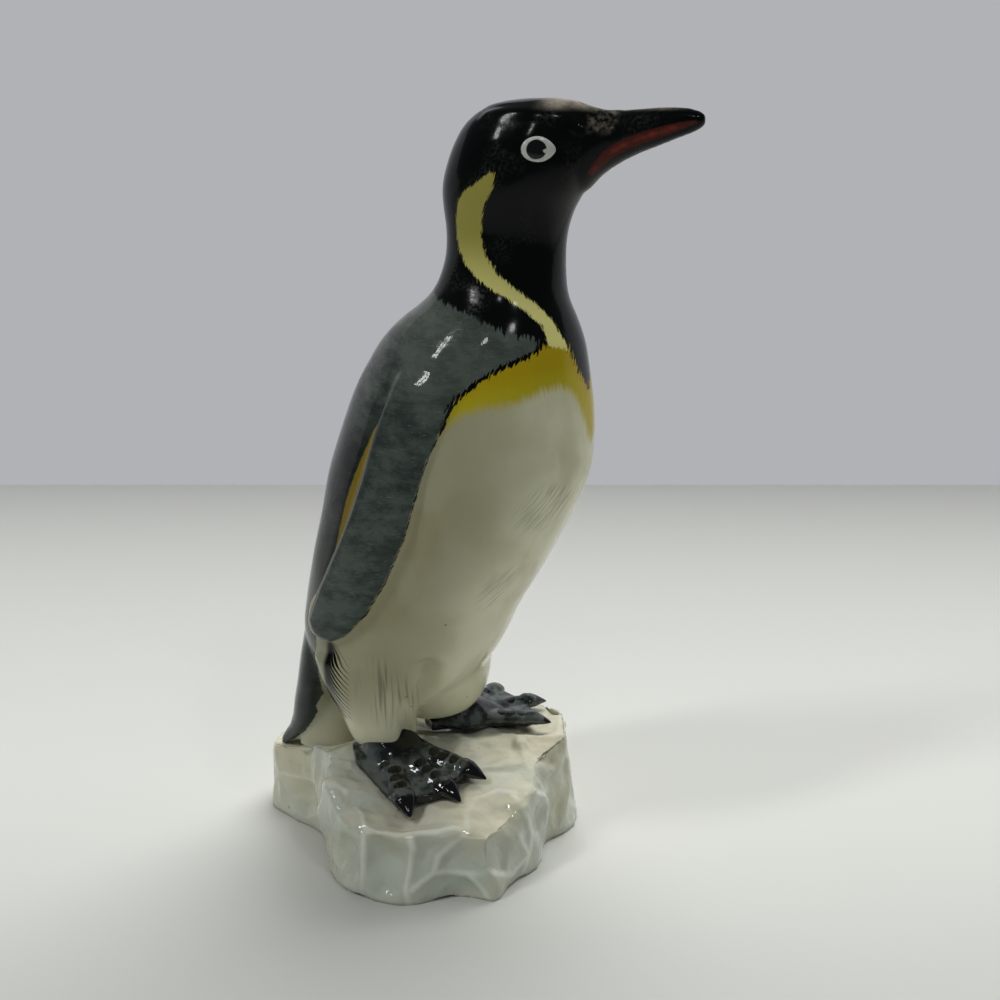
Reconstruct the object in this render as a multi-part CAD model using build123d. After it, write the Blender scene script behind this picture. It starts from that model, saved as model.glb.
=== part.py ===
from build123d import *
from functools import cache
from math import cos, hypot, radians, sin, sqrt
import os

# A standing penguin in hand-painted glazed porcelain, on a chiselled block of ice.
# It is cast and pressed as separate pieces, which are joined with slip before the firing:
# a hollow ice block, a hollow torso, a hollow head with the neck, a bill, two eyes,
# two flippers, two feathered legs, two webbed feet and a tail.
# Millimetres, +Z up. The origin is the middle of the flat underside of the ice block.
# The bird faces -Y, so its right side is -X. Its left foot stands forward of its right.
# Tables called shares are written as parts of the named sizes beside them.

# The ice block: a faceted outline, a flat top, and facets chiselled out of that top
rock_length = 88.7
rock_width = 86.0
rock_height = 28.0
rock_wall = 4.5
rock_shoulder_height = 16.0
rock_top_inset = 3.5
rock_vent_diameter = 5.0
rock_vent_forward = 16.0

# The body of the bird, from the top of the ice block up
torso_bottom_gap = 6.0
torso_height = 112.0
torso_depth = 67.0
torso_width = 63.6
torso_lean = 31.6
torso_setback = 6.0
neck_height = 20.0
neck_depth = 29.4
neck_width = 28.0
neck_lean = 2.2
head_height = 27.6
head_depth = 35.2
head_width = 30.4
head_forward = 8.0
cast_wall = 3.5
neck_seam_rise = 3.0
body_vent_diameter = 4.0

# The bill
bill_length = 27.5
bill_root_height = 18.3
bill_root_width = 13.4
bill_root_drop = 11.1
bill_root_depth = 6.0
bill_tang_share = 0.9
bill_rise = 5.6

# The eyes
eye_length = 9.2
eye_height = 6.9
eye_stand = 0.9
eye_sink = 2.0
eye_forward_share = 0.74
eye_rise = 15.3

# The flippers, which lie along the flanks and are luted on at the shoulder
flipper_length = 79.0
flipper_chord = 18.0
flipper_thickness = 5.2
flipper_sweep = 33.0
flipper_drop = 6.0
flipper_stand = 3.4
flipper_setback = 3.6

# The legs, with the hem of feathers above each foot
leg_height = 30.0
leg_hem_diameter = 18.0
leg_top_diameter = 29.0
leg_spacing = 19.0
leg_top_spacing = 27.0
leg_stride = 13.0
leg_setback = -1.5
leg_hem_round = 1.6
leg_top_stride = 19.0
leg_top_setback = -3.2
leg_hem_rise = 4.4

# The feet
toe_length = 26.0
toe_diameter = 6.0
toe_lift = 1.6
toe_spread = 25.0
heel_length = 9.0
heel_width = 9.0
web_thickness = 2.8
web_notch = 4.5
claw_length = 9.0
claw_diameter = 4.4
claw_tip_diameter = 0.8
claw_droop = 8.0
claw_root_share = 0.9
side_toe_share = 0.9
instep_length = 30.0
instep_width = 17.0
instep_forward = 6.0
ankle_diameter = 12.4
ankle_tenon = 2.2
sole_sink = 1.3
right_toe_out = 31.0
left_toe_out = 50.0

# The facets on which the right foot and the tail rest, as slopes in degrees
right_seat_slope = 11.0
right_seat_run = 14.0
tail_seat_slope = 16.0
tail_seat_run = 14.0

# The tail, with the mass under it that rests on the block
tail_height = 40.0
tail_depth = 20.0
tail_width = 24.0
tail_setback = 24.0
tail_sink = 7.0

# How far a cutting block runs past what it cuts
overrun = 240.0

# How far round the flank, as a share of its half depth, a flipper may reach
flank_limit_share = 0.97

# Corners of the block seen from above, as shares of its half width and half length, with
# the share of its size that each corner keeps at the shoulder of the block, and at the top
rock_corner_shares = [
    (0.04, 1.00, 1.00, 1.00),
    (-0.14, 0.80, 1.00, 0.98),
    (-0.30, 0.50, 1.02, 0.98),
    (-0.58, 0.32, 1.04, 1.00),
    (-0.83, 0.17, 1.00, 0.99),
    (-0.97, -0.02, 0.98, 0.98),
    (-1.00, -0.32, 0.98, 1.00),
    (-0.84, -0.56, 0.99, 0.98),
    (-0.77, -0.80, 0.97, 0.97),
    (-0.60, -0.83, 1.00, 0.99),
    (-0.31, -0.93, 0.99, 0.98),
    (-0.01, -0.87, 1.02, 0.98),
    (0.31, -1.00, 0.99, 1.00),
    (0.70, -0.84, 0.98, 1.00),
    (0.97, -0.50, 0.98, 1.00),
    (1.00, -0.10, 0.97, 0.98),
    (0.87, 0.24, 1.01, 0.97),
    (0.94, 0.56, 0.97, 0.99),
    (0.76, 0.80, 0.98, 1.00),
    (0.42, 0.96, 1.00, 0.98),
]

# Facets chiselled off the rim: the place of each at the level of the top, as shares of the
# half width and half length, with its slope outwards in degrees
rock_facet_shares = [
    (-0.84, -0.26, 42.0),
    (-0.66, -0.62, 46.0),
    (-0.20, -0.78, 40.0),
    (0.34, -0.90, 48.0),
    (0.84, -0.66, 44.0),
    (0.88, 0.02, 38.0),
    (0.66, 0.62, 40.0),
    (-0.30, 0.40, 34.0),
    (-0.02, 0.72, 60.0),
]

# Each section of the torso: share of its height, of its lean, of its depth and its width
torso_shares = [
    (0.00, -0.03, 0.300, 0.310),
    (0.04, 0.015, 0.510, 0.530),
    (0.09, 0.065, 0.670, 0.690),
    (0.16, 0.135, 0.775, 0.790),
    (0.23, 0.195, 0.825, 0.840),
    (0.29, 0.255, 0.850, 0.870),
    (0.39, 0.400, 0.915, 0.935),
    (0.50, 0.545, 0.965, 0.980),
    (0.61, 0.670, 1.000, 1.000),
    (0.70, 0.735, 0.970, 0.960),
    (0.78, 0.785, 0.910, 0.905),
    (0.85, 0.830, 0.835, 0.845),
    (0.91, 0.885, 0.750, 0.765),
    (0.955, 0.930, 0.650, 0.670),
    (1.00, 1.000, 0.525, 0.545),
]

# Each section of the neck: share of its height, of its lean, of its depth and its width
neck_shares = [
    (0.40, 0.80, 1.015, 1.03),
    (0.85, 1.00, 0.995, 0.975),
]

# Each section of the head: share of its height, of how far it reaches forward,
# of its depth and of its width
head_shares = [
    (0.00, 0.00, 0.860, 0.920),
    (0.25, 0.25, 0.990, 1.000),
    (0.47, 0.43, 0.990, 0.995),
    (0.65, 0.55, 0.925, 0.945),
    (0.82, 0.71, 0.825, 0.800),
    (0.91, 0.87, 0.705, 0.630),
    (0.98, 0.97, 0.450, 0.390),
    (1.00, 1.02, 0.230, 0.200),
]

# Each section of the bill: share of its length, of its rise, of its root height and width
bill_shares = [
    (0.00, 0.00, 1.00, 1.00),
    (0.09, 0.12, 0.87, 0.87),
    (0.155, 0.24, 0.765, 0.78),
    (0.28, 0.45, 0.595, 0.63),
    (0.44, 0.64, 0.485, 0.53),
    (0.615, 0.80, 0.400, 0.45),
    (0.775, 0.97, 0.315, 0.36),
    (0.87, 1.01, 0.240, 0.28),
    (0.96, 1.00, 0.145, 0.17),
    (1.00, 0.99, 0.060, 0.07),
]

# Each section of a flipper from the shoulder down: share of its length, of its sweep, of
# its chord, of its thickness, and of its stand from the flank
flipper_shares = [
    (0.00, -0.02, 0.70, 0.90, -1.10),
    (0.09, 0.05, 0.94, 1.14, -0.30),
    (0.19, 0.12, 1.00, 1.10, 0.50),
    (0.31, 0.20, 0.98, 1.02, 0.90),
    (0.46, 0.32, 0.92, 0.96, 1.05),
    (0.61, 0.48, 0.83, 0.90, 1.05),
    (0.78, 0.70, 0.72, 0.82, 1.05),
    (0.90, 0.87, 0.57, 0.72, 1.00),
    (0.96, 0.95, 0.40, 0.58, 0.95),
    (1.00, 1.00, 0.16, 0.36, 0.90),
]

# Each section of a leg: share of its height, of its lean from hem to top, and of its swell
# from the hem to the top diameter
leg_shares = [
    (0.18, 0.28, 0.16),
    (0.41, 0.66, 0.42),
    (0.66, 1.00, 0.74),
    (0.86, 0.80, 0.70),
    (1.00, 0.40, 0.30),
]

# Each section of a toe: share of its length and of its diameter
toe_shares = [
    (0.00, 1.00),
    (0.30, 0.86),
    (0.55, 0.80),
    (0.80, 0.96),
    (0.95, 0.90),
    (1.00, 0.60),
]

# Each section of the tail from its foot up: share of its height, of its setback, of its
# depth and of its width
tail_shares = [
    (0.00, 1.07, 0.98, 0.58),
    (0.15, 1.03, 0.95, 0.62),
    (0.375, 0.96, 0.90, 0.75),
    (0.575, 0.91, 0.83, 0.85),
    (0.775, 0.88, 0.81, 0.95),
    (1.00, 0.80, 0.80, 1.00),
]

# Each ring of an eye from its seat outwards: share of its stand and of its size
eye_shares = [
    (0.35, 1.00),
    (0.80, 0.82),
    (1.00, 0.46),
]


def interpolate(low, high, share):
    return tuple(a + (b - a) * share for a, b in zip(low, high))


# Sections of the whole bird, each as height, place front to back, half depth, half width


def bird_sections():
    sections = []
    foot = rock_height + torso_bottom_gap
    for height, lean, depth, width in torso_shares:
        sections.append(
            (
                foot + height * torso_height,
                torso_setback - lean * torso_lean,
                depth * torso_depth / 2,
                width * torso_width / 2,
            )
        )
    foot += torso_height
    place = torso_setback - torso_lean
    for height, lean, depth, width in neck_shares:
        sections.append(
            (
                foot + height * neck_height,
                place - lean * neck_lean,
                depth * neck_depth / 2,
                width * neck_width / 2,
            )
        )
    foot += neck_height
    place -= neck_lean
    for height, forward, depth, width in head_shares:
        sections.append(
            (
                foot + height * head_height,
                place - forward * head_forward,
                depth * head_depth / 2,
                width * head_width / 2,
            )
        )
    return sections


def section_at(height):
    sections = bird_sections()
    for low, high in zip(sections, sections[1:]):
        if height <= high[0]:
            return interpolate(low, high, (height - low[0]) / (high[0] - low[0]))
    return sections[-1]


# A point on the skin of the bird at a height and a place front to back, on its left side,
# with the direction that points straight out of the skin there


def skin_point(height, place):
    _, middle, half_depth, half_width = section_at(height)
    along = (place - middle) / half_depth
    along = max(-flank_limit_share, min(flank_limit_share, along))
    across = sqrt(1 - along * along)
    out = Vector(across / half_width, along / half_depth, 0).normalized()
    return Vector(across * half_width, place, height), out


# The bird's outer form, or, with a wall, the hollow inside it


@cache
def bird_form(wall=0.0):
    sections = bird_sections()
    low, high = sections[0][0], sections[-1][0]
    middle = (low + high) / 2
    squeeze = (high - low - 2 * wall) / (high - low)
    rings = []
    for height, place, half_depth, half_width in sections:
        level = middle + (height - middle) * squeeze
        if min(half_depth, half_width) > wall:
            rings.append(
                Plane((0, place, level)) * Ellipse(half_width - wall, half_depth - wall)
            )
    return loft(rings)


# A block that fills everything above a plane


def above(plane_place):
    return plane_place * Box(
        overrun, overrun, overrun, align=(Align.CENTER, Align.CENTER, Align.MIN)
    )


# A plane that starts at a point and slopes down in one direction


def slope_plane(start, direction, slope):
    across = Vector(-direction.Y, direction.X, 0)
    tilt = radians(slope)
    normal = Vector(direction.X * sin(tilt), direction.Y * sin(tilt), cos(tilt))
    return Plane(start, x_dir=across, z_dir=normal)


def ankle_place(side):
    return Vector(side * leg_spacing / 2, leg_setback - side * leg_stride / 2, 0)


def toe_direction(side, spread=0.0):
    toe_out = radians((left_toe_out if side > 0 else right_toe_out) + spread)
    return Vector(side * sin(toe_out), -cos(toe_out), 0)


def right_seat():
    direction = toe_direction(-1, toe_spread / 3)
    start = ankle_place(-1) - direction * (right_seat_run / 2) + Vector(0, 0, rock_height)
    return slope_plane(start, direction, right_seat_slope)


def tail_seat():
    start = Vector(0, tail_seat_run, rock_height)
    return slope_plane(start, Vector(0, 1, 0), tail_seat_slope)


def rock_facets():
    facets = []
    for across, along, slope in rock_facet_shares:
        start = Vector(across * rock_width / 2, along * rock_length / 2, 0)
        facets.append(
            slope_plane(start + Vector(0, 0, rock_height), start.normalized(), slope)
        )
    return facets


# The block of ice


@cache
def rock_block(wall=0.0):
    levels = [
        (wall, 2, 0.0),
        (rock_shoulder_height, 2, 0.0),
        (rock_height - wall, 3, rock_top_inset),
    ]
    rings = []
    for number, (level, column, inset) in enumerate(levels):
        corners = []
        for corner in rock_corner_shares:
            keep = 1.0 if number == 0 else corner[column]
            x = corner[0] * rock_width / 2
            y = corner[1] * rock_length / 2
            reach = hypot(x, y)
            kept = (reach * keep - inset - wall) / reach
            corners.append((x * kept, y * kept))
        rings.append(Plane((0, 0, level)) * make_face(Polyline(*corners, close=True)))
    block = loft(rings, ruled=True)
    for cut in [right_seat(), tail_seat()] + rock_facets():
        block -= above(cut.offset(-wall))
    return block


def rock_base():
    vent = Pos(0, rock_vent_forward, rock_wall / 2) * Cylinder(
        rock_vent_diameter / 2, rock_wall * 2
    )
    return rock_block() - rock_block(rock_wall) - vent


# The neck seam, where the head casting is joined to the torso casting


def seam_height():
    return rock_height + torso_bottom_gap + torso_height + neck_seam_rise


def torso_shell():
    vent = Pos(0, torso_setback, rock_height + torso_bottom_gap) * Cylinder(
        body_vent_diameter / 2, cast_wall * 4
    )
    return bird_form() - bird_form(cast_wall) - vent - above(Plane((0, 0, seam_height())))


def head_shell():
    return (bird_form() - bird_form(cast_wall)) & above(Plane((0, 0, seam_height())))


# The bill


def bill_root():
    crown = rock_height + torso_bottom_gap + torso_height + neck_height + head_height
    height = crown - bill_root_drop
    _, middle, half_depth, _ = section_at(height)
    return middle - half_depth, height


def bill():
    face, height = bill_root()
    tang = Ellipse(
        bill_tang_share * bill_root_width / 2, bill_tang_share * bill_root_height / 2
    )
    rings = [
        Plane((0, face + bill_root_depth, height), x_dir=(1, 0, 0), z_dir=(0, -1, 0)) * tang
    ]
    for along, rise, tall, wide in bill_shares:
        place = Plane(
            (0, face - along * bill_length, height + rise * bill_rise),
            x_dir=(1, 0, 0),
            z_dir=(0, -1, 0),
        )
        rings.append(
            place * Ellipse(wide * bill_root_width / 2, tall * bill_root_height / 2)
        )
    return loft(rings) - bird_form()


# An eye: a low dome on the skin of the head


def eye(side):
    height = rock_height + torso_bottom_gap + torso_height + neck_height + eye_rise
    _, middle, half_depth, _ = section_at(height)
    place = middle + half_depth - eye_forward_share * 2 * half_depth
    point, out = skin_point(height, place)
    point = Vector(side * point.X, point.Y, point.Z)
    out = Vector(side * out.X, out.Y, out.Z)
    along = Vector(0, 0, 1).cross(out)
    rings = []
    for stand, size in [(-eye_sink / eye_stand, 1.0)] + eye_shares:
        seat = Plane(point + out * (stand * eye_stand), x_dir=along, z_dir=out)
        rings.append(seat * Ellipse(size * eye_length / 2, size * eye_height / 2))
    return loft(rings) - bird_form()


# A flipper: a long blade that starts in the shoulder and lies along the flank


def flipper(side):
    top = rock_height + torso_bottom_gap + torso_height - flipper_drop
    _, middle, _, _ = section_at(top)
    points = []
    for down, sweep, chord, thick, stand in flipper_shares:
        place = middle + flipper_setback + sweep * flipper_sweep
        point, out = skin_point(top - down * flipper_length, place)
        points.append((point + out * (stand * flipper_stand), out))
    rings = []
    for number, (point, out) in enumerate(points):
        before = points[max(number - 1, 0)][0]
        after = points[min(number + 1, len(points) - 1)][0]
        along = (after - before).normalized()
        chord, thick = flipper_shares[number][2:4]
        across = out.cross(along).normalized()
        centre = Vector(side * point.X, point.Y, point.Z)
        place = Plane(
            centre,
            x_dir=Vector(side * across.X, across.Y, across.Z),
            z_dir=Vector(side * along.X, along.Y, along.Z),
        )
        rings.append(
            place * Ellipse(chord * flipper_chord / 2, thick * flipper_thickness / 2)
        )
    return loft(rings) - bird_form()


# The sole of a foot: where it stands on the block, with Y towards the middle toe


def sole(side):
    ankle = ankle_place(side)
    direction = toe_direction(side)
    if side > 0:
        normal = Vector(0, 0, 1)
        level = rock_height
    else:
        seat = right_seat()
        normal = seat.z_dir
        run = (ankle - seat.origin).dot(Vector(normal.X, normal.Y, 0))
        level = seat.origin.Z - run / normal.Z
    across = direction.cross(normal).normalized()
    return Plane(
        Vector(ankle.X, ankle.Y, level) - normal * sole_sink, x_dir=across, z_dir=normal
    )


def hem_height(side):
    return sole(side).origin.Z + sole_sink + leg_hem_rise


# One toe with its claw, along Y, turned by an angle about the ankle


def toe_reach(angle):
    return toe_length if angle == 0 else toe_length * side_toe_share


def toe(angle):
    rings = []
    reach = toe_reach(angle)
    for along, thick in toe_shares:
        ring = Plane((0, along * reach, toe_lift), x_dir=(1, 0, 0), z_dir=(0, 1, 0))
        rings.append(ring * Circle(thick * toe_diameter / 2))
    root = Pos(0, claw_root_share * reach, toe_lift) * Rot(-90 - claw_droop, 0, 0)
    claw = root * Cone(
        claw_diameter / 2,
        claw_tip_diameter / 2,
        claw_length,
        align=(Align.CENTER, Align.CENTER, Align.MIN),
    )
    return Rot(0, 0, angle) * (loft(rings) + claw)


def toe_point(angle, reach):
    turn = radians(angle)
    return -sin(turn) * reach, cos(turn) * reach


@cache
def foot_form(side):
    tips = [toe_point(angle, toe_reach(angle)) for angle in (toe_spread, 0, -toe_spread)]
    notch = toe_length * cos(radians(toe_spread / 2)) - web_notch
    notches = [toe_point(angle, notch) for angle in (toe_spread / 2, -toe_spread / 2)]
    outline = Curve() + [
        Line((-heel_width / 2, -heel_length), tips[0]),
        ThreePointArc(tips[0], notches[0], tips[1]),
        ThreePointArc(tips[1], notches[1], tips[2]),
        Line(tips[2], (heel_width / 2, -heel_length)),
        Line((heel_width / 2, -heel_length), (-heel_width / 2, -heel_length)),
    ]
    foot = extrude(make_face(outline), web_thickness)
    for angle in (toe_spread, 0, -toe_spread):
        foot += toe(angle)
    return sole(side) * foot + instep(side)


# The instep rises from the sole to the ankle, which stands in a socket in the hem


def instep(side):
    place = sole(side).origin
    direction = toe_direction(side)
    low = Vector(place.X, place.Y, place.Z) + direction * instep_forward
    high = Vector(place.X, place.Y, hem_height(side) + ankle_tenon)
    return loft(
        [
            Plane(low, x_dir=direction, z_dir=(0, 0, 1))
            * Ellipse(instep_length / 2, instep_width / 2),
            Plane(high, x_dir=direction, z_dir=(0, 0, 1)) * Circle(ankle_diameter / 2),
        ]
    )


def foot(side):
    seat = sole(side).offset(sole_sink)
    return foot_form(side) - above(-seat) - rock_block() - bird_form()


# A leg: a feathered stump from its hem up into the torso


@cache
def leg_form(side):
    ankle_point = ankle_place(side)
    hem = hem_height(side)
    low = Vector(ankle_point.X, ankle_point.Y, hem)
    high = Vector(
        side * leg_top_spacing / 2,
        leg_top_setback - side * leg_top_stride / 2,
        hem + leg_height,
    )
    rings = [
        Plane(low) * Circle(leg_hem_diameter / 2 - leg_hem_round),
        Plane(low + Vector(0, 0, leg_hem_round)) * Circle(leg_hem_diameter / 2),
    ]
    for height, lean, swell in leg_shares:
        radius = (leg_hem_diameter + (leg_top_diameter - leg_hem_diameter) * swell) / 2
        centre = low + (high - low) * lean
        rings.append(Plane((centre.X, centre.Y, hem + height * leg_height)) * Circle(radius))
    return loft(rings)


def leg(side):
    shape = leg_form(side) - bird_form() - foot_form(side)
    if side < 0:
        shape -= leg_form(-side)
    return shape


# The tail, which rests on its own facet of the block


def tail():
    foot_level = rock_height - tail_sink
    rings = []
    for height, setback, depth, width in tail_shares:
        place = Plane((0, setback * tail_setback, foot_level + height * tail_height))
        rings.append(place * Ellipse(width * tail_width / 2, depth * tail_depth / 2))
    shape = loft(rings) - bird_form() - rock_block()
    for side in (-1, 1):
        shape = shape - leg_form(side) - foot_form(side)
    return shape


def main():
    os.makedirs("parts", exist_ok=True)
    pieces = {
        "rock_base": rock_base(),
        "torso_shell": torso_shell(),
        "head_shell": head_shell(),
        "bill": bill(),
        "tail": tail(),
    }
    for name, side in (("right", -1), ("left", 1)):
        pieces[name + "_eye"] = eye(side)
        pieces[name + "_flipper"] = flipper(side)
        pieces[name + "_leg"] = leg(side)
        pieces[name + "_foot"] = foot(side)
    for name, shape in pieces.items():
        export_step(shape, "parts/" + name + ".step")


main()
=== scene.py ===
import math
import bmesh
import bpy
import numpy as np
from mathutils import Matrix, Vector, noise


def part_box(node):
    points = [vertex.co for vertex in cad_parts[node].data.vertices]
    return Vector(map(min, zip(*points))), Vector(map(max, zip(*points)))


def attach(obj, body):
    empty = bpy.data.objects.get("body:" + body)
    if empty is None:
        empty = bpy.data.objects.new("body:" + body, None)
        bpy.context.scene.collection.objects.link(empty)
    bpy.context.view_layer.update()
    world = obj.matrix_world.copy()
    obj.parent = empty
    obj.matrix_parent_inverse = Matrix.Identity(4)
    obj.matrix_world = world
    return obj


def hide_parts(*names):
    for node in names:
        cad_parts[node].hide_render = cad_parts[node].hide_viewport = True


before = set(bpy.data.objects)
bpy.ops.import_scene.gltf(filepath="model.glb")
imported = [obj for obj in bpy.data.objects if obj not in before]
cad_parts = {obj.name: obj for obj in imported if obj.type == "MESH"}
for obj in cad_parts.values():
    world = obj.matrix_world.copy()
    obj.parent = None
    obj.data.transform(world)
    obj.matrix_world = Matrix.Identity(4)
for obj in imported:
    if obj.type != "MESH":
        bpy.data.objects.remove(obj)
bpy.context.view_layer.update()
mm = 0.001
print("frame loaded")

# Shapes are modelled in millimetres and written to their objects in metres.
# A ring is its centre, its two half sizes and how it is turned.

fineness = {"skinVoxel": 0.62, "footVoxel": 0.34, "rockVoxel": 0.62, "quickScale": 1.7, "smoothing": 0.5}
upright = Matrix.Identity(3)
lying = Matrix(((1, 0, 0), (0, 0, -1), (0, 1, 0)))  # a ring that faces along Y


def voxel(name):
    return fineness[name] * 1


def ringEdges(verts):
    return list(dict.fromkeys(edge for vert in verts for edge in vert.link_edges))


def bridge(bm, loops):
    for low, high in zip(loops, loops[1:]):
        bmesh.ops.bridge_loops(bm, edges=low + high)


def addLoft(bm, rings, sides=48):
    loops = []
    for number, (centre, half, turn) in enumerate(rings):
        place = Matrix.Translation(Vector(centre)) @ turn.to_4x4() @ Matrix.Diagonal((*half, 1, 1))
        capped = number in (0, len(rings) - 1)
        made = bmesh.ops.create_circle(bm, cap_ends=capped, segments=sides, radius=1, matrix=place)
        loops.append(ringEdges(made["verts"]))
    bridge(bm, loops)


def makeObject(name, bm):
    bmesh.ops.recalc_face_normals(bm, faces=bm.faces)
    mesh = bpy.data.meshes.new(name)
    bm.to_mesh(mesh)
    bm.free()
    piece = bpy.data.objects.new(name, mesh)
    bpy.context.scene.collection.objects.link(piece)
    return piece


def applyModifiers(piece):
    graph = bpy.context.evaluated_depsgraph_get()
    old = piece.data
    new = bpy.data.meshes.new_from_object(piece.evaluated_get(graph))
    piece.modifiers.clear()
    piece.data = new
    bpy.data.meshes.remove(old)


def fuse(piece, size, passes):  # joins overlapping shells into one skin and takes the steps off
    remesh = piece.modifiers.new("Remesh", "REMESH")
    remesh.mode = "VOXEL"
    remesh.voxel_size = size
    applyModifiers(piece)
    relax(piece, passes)


def relax(piece, passes, chosen=None):  # chosen says which points may move
    bm = bmesh.new()
    bm.from_mesh(piece.data)
    bm.verts.ensure_lookup_table()
    verts = bm.verts if chosen is None else [bm.verts[i] for i in np.nonzero(chosen)[0]]
    for _ in range(passes):
        bmesh.ops.smooth_vert(
            bm, verts=verts, factor=fineness["smoothing"], use_axis_x=True, use_axis_y=True, use_axis_z=True
        )
    bm.to_mesh(piece.data)
    bm.free()


def readVerts(piece, what="co"):
    values = np.zeros(len(piece.data.vertices) * 3)
    piece.data.vertices.foreach_get(what, values)
    return values.reshape(-1, 3)


def writeVerts(piece, points):
    piece.data.vertices.foreach_set("co", points.ravel())
    piece.data.update()


def sink(piece, depth):  # one depth, or one for each point; a negative depth raises the surface
    writeVerts(piece, readVerts(piece) - readVerts(piece, "normal") * np.reshape(depth, (-1, 1)))


def falloff(distance, reach):
    share = np.clip(1 - distance / reach, 0, 1)
    return share * share * (3 - 2 * share)


def lineDistance(points, line):
    nearest = np.full(len(points), 1e9)
    corners = np.array(line, float)
    for start, end in zip(corners, corners[1:]):
        run = end - start
        share = np.clip((points - start) @ run / (run @ run), 0, 1)
        gap = np.linalg.norm(points - start - share[:, None] * run, axis=1)
        nearest = np.minimum(nearest, gap)
    return nearest


def mirrored(points):
    return [(-x, y, z) for x, y, z in points]


def carve(piece, lines, depth, reach):  # a negative depth raises a ridge instead
    points, normals = readVerts(piece), readVerts(piece, "normal")
    for line in lines:
        points -= normals * (depth * falloff(lineDistance(points, line), reach))[:, None]
    writeVerts(piece, points)


def press(piece, dents):  # each dent is its middle, its reach and how far it goes in
    points, normals = readVerts(piece), readVerts(piece, "normal")
    for middle, reach, depth in dents:
        gap = np.linalg.norm(points - np.array(middle, float), axis=1)
        points -= normals * (depth * falloff(gap, reach))[:, None]
    writeVerts(piece, points)


def bowl(share):  # steep at 0, level at 1
    return 1 - (1 - np.clip(share, 0, 1)) ** 2


def scoop(piece, ridges, depth, reach, chosen):  # hollows the faces between ridges
    points = readVerts(piece)
    gap = np.full(len(points), 1e9)
    for ridge in ridges:
        seated = [points[np.argmin(np.linalg.norm(points - np.array(spot), axis=1))] for spot in ridge]
        gap = np.minimum(gap, lineDistance(points, seated))
    sink(piece, chosen * depth * bowl(gap / reach))
    return gap


def hollow(piece, balls):  # each ball, a middle and a radius, takes a bowl out of the surface
    points = readVerts(piece)
    for middle, radius in balls:
        away = points - np.array(middle, float)
        gap = np.linalg.norm(away, axis=1)
        inside = gap < radius
        points[inside] = np.array(middle) + away[inside] / gap[inside, None] * radius
    writeVerts(piece, points)


def facet(piece, size, depth, chosen):  # shallow hollows with soft ridges between them
    spots = readVerts(piece) / np.array(size, float)
    nearest, second = np.array([noise.voronoi(Vector(spot))[0][:2] for spot in spots]).T
    gap = second - nearest
    sink(piece, chosen * depth * bowl(gap / rockShape["facetRidge"]))
    return gap * min(size)


def ripple(piece, size, height, chosen=1.0, turn=0):  # the unevenness of a hand-worked surface
    cosine, sine = math.cos(math.radians(turn)), math.sin(math.radians(turn))
    grain = np.array([[cosine, -sine, 0], [sine, cosine, 0], [0, 0, 1]])
    spots = readVerts(piece) @ grain / np.array(size, float)
    waves = np.array([noise.noise(Vector(spot)) for spot in spots])
    sink(piece, -(waves * height * chosen))


def smoothLine(corners, steps=4, closed=False):  # rounds a drawn line without moving its points
    points = [Vector(corner) for corner in corners]
    if closed:
        ends = [points[-1]] + points + [points[0], points[1]]
    else:
        ends = [points[0] * 2 - points[1]] + points + [points[-1] * 2 - points[-2]]
    line = []
    for a, b, c, d in zip(ends, ends[1:], ends[2:], ends[3:]):
        for step in range(steps):
            t = step / steps
            line.append(
                b + (c - a) * (t / 2) + (a * 2 - b * 5 + c * 4 - d) * (t * t / 2)
                + (b * 3 - a - c * 3 + d) * (t * t * t / 2)
            )
    return line if closed else line + [points[-1]]


def sideName(side, what):
    return ("right_" if side < 0 else "left_") + what


def finishPiece(piece, name, slotName, *nodes):
    piece.name = name
    piece.data.name = name
    piece.data.transform(Matrix.Scale(mm, 4))
    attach(piece, "root")
    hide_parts(*nodes)
    print(name, len(piece.data.polygons), "faces")


# The bird: rings round its body from the feet to the crown, as height, place front to
# back, half depth and half width

birdShape = {
    "rings": [
        (34, 5, 7, 7), (38.5, 4, 13, 13.4), (44, 3, 19.2, 19), (52, 1.4, 24.6, 24.2),
        (60, -0.2, 27.6, 26.8), (66, -2, 28.4, 27.5), (78, -6.7, 30.7, 29.7), (90, -11.3, 32.3, 31.1),
        (102, -15.1, 33.5, 31.8), (112, -17.3, 32.5, 30.5), (121, -18.7, 30.6, 28.7),
        (129, -20.2, 28, 26.9), (136, -21.9, 25.1, 24.3), (141, -23.4, 21.8, 21.4),
        (146, -25.6, 17.5, 17.4), (154, -27.3, 15.0, 14.4), (163, -28, 14.9, 13.6),
        (168, -28.5, 16.1, 14.2), (173, -29.8, 17.6, 15.35), (179, -31.2, 17.6, 15.2),
        (184, -32.2, 16.4, 14.4), (188.5, -33.6, 14.7, 12.1), (191, -35.1, 12.8, 9.6),
        (192.8, -36.2, 8.8, 6.4), (193.3, -36.8, 5, 3.6),
    ],
    "ringStep": 2.0,
    "crownLevels": [191, 192, 192.8],
    "flankLimit": 0.97,
    "swell": 0.25,  # makes up for what smoothing takes off
}

billRings = [  # place, top and bottom height, half width
    (-42, 191, 170, 6.8), (-46, 192.3, 171, 6.8), (-48.5, 191.6, 172.6, 6.5), (-51, 191.1, 175.3, 5.7),
    (-53.5, 190.6, 177.2, 5.0), (-57, 190.3, 179.2, 4.3), (-61, 190.6, 181.0, 3.7),
    (-65.4, 190.9, 182.6, 3.1), (-69.8, 190.8, 184.3, 2.55), (-72.4, 190.5, 185.2, 2.15),
    (-74.7, 189.9, 186.2, 1.9), (-75.8, 189.2, 187.0, 1.1),
]

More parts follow.
